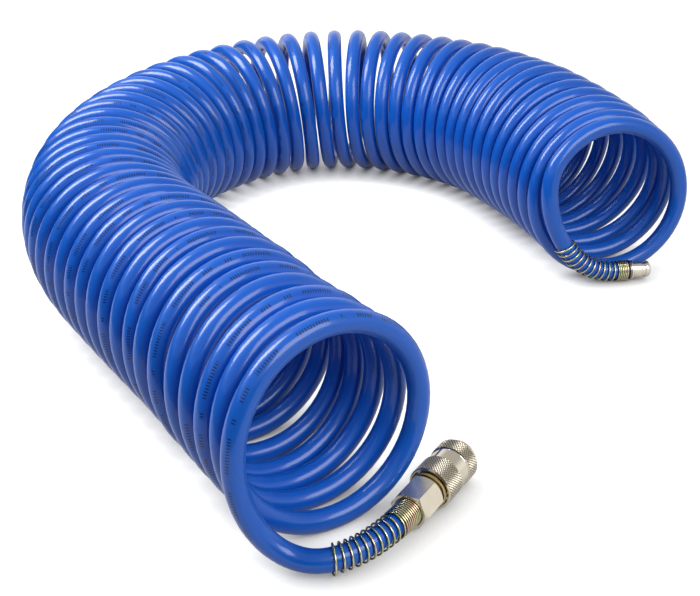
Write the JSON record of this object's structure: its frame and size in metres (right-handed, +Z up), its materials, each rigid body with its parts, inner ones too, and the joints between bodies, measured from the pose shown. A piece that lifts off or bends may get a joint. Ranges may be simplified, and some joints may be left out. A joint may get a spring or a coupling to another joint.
{
  "type": "coiled air hose",
  "caption": "Long recoil air hose wound into a coil, with a spring guard at each end, a quick socket with a sliding knurled sleeve at one end and a plug at the other.",
  "frame": {"origin": "centre of the part's outline on the surface that it lies on", "axes": "+Z up, +Y from the side where the socket lies towards the back of the coil's bend, +X towards the plug's side"},
  "size_m": [0.4784, 0.6213, 0.1238],
  "materials": {
    "hose": "glossy",
    "guard_wire": "yellow zinc plated",
    "nickel": "nickel plated, polished",
    "brass": "turned",
    "spring_steel": "bright",
    "dark_steel": "darkened",
    "rubber": "matt"
  },
  "bodies": {
    "hose_and_bodies": {"air_hose": "hose", "socket_spring_guard": "guard_wire", "socket_hose_nut": "nickel", "socket_adapter": "brass", "adapter_gasket": "rubber", "socket_body": "nickel", "sleeve_spring": "spring_steel", "sleeve_stop_ring": "dark_steel", "valve_spring": "spring_steel", "plug_packing": "rubber", "plug_spring_guard": "guard_wire", "guard_washer": "dark_steel", "hose_plug": "nickel"},
    "sleeve": {"knurled_sleeve": "nickel"},
    "valve": {"valve_poppet": "brass", "valve_seal": "rubber"},
    "ball_1": {"locking_ball_1": "spring_steel"},
    "ball_2": {"locking_ball_2": "spring_steel"},
    "ball_3": {"locking_ball_3": "spring_steel"},
    "ball_4": {"locking_ball_4": "spring_steel"}
  },
  "joints": [
    {"name": "sleeve_slide", "type": "slide", "parent": "hose_and_bodies", "child": "sleeve", "axis": [-0.5446, -0.8387, 0], "range_m": [0, 0.0026], "stiffness_N_per_m": 1500, "springref_m": -0.006, "deforming": ["sleeve_spring"]},
    {"name": "valve_slide", "type": "slide", "parent": "hose_and_bodies", "child": "valve", "axis": [-0.5446, -0.8387, 0], "range_m": [0, 0.0028], "stiffness_N_per_m": 300, "springref_m": -0.004, "deforming": ["valve_spring"]},
    {"name": "ball_1_slide", "type": "slide", "parent": "hose_and_bodies", "child": "ball_1", "axis": [-0.593, 0.3851, -0.7071], "range_m": [0, 0.00065]},
    {"name": "ball_2_slide", "type": "slide", "parent": "hose_and_bodies", "child": "ball_2", "axis": [-0.593, 0.3851, 0.7071], "range_m": [0, 0.00065]},
    {"name": "ball_3_slide", "type": "slide", "parent": "hose_and_bodies", "child": "ball_3", "axis": [0.593, -0.3851, 0.7071], "range_m": [0, 0.00065]},
    {"name": "ball_4_slide", "type": "slide", "parent": "hose_and_bodies", "child": "ball_4", "axis": [0.593, -0.3851, -0.7071], "range_m": [0, 0.00065]}
  ],
  "couplings": [
    {"joint": "ball_1_slide", "follows": "sleeve_slide", "ratio": 0.25},
    {"joint": "ball_2_slide", "follows": "sleeve_slide", "ratio": 0.25},
    {"joint": "ball_3_slide", "follows": "sleeve_slide", "ratio": 0.25},
    {"joint": "ball_4_slide", "follows": "sleeve_slide", "ratio": 0.25}
  ]
}
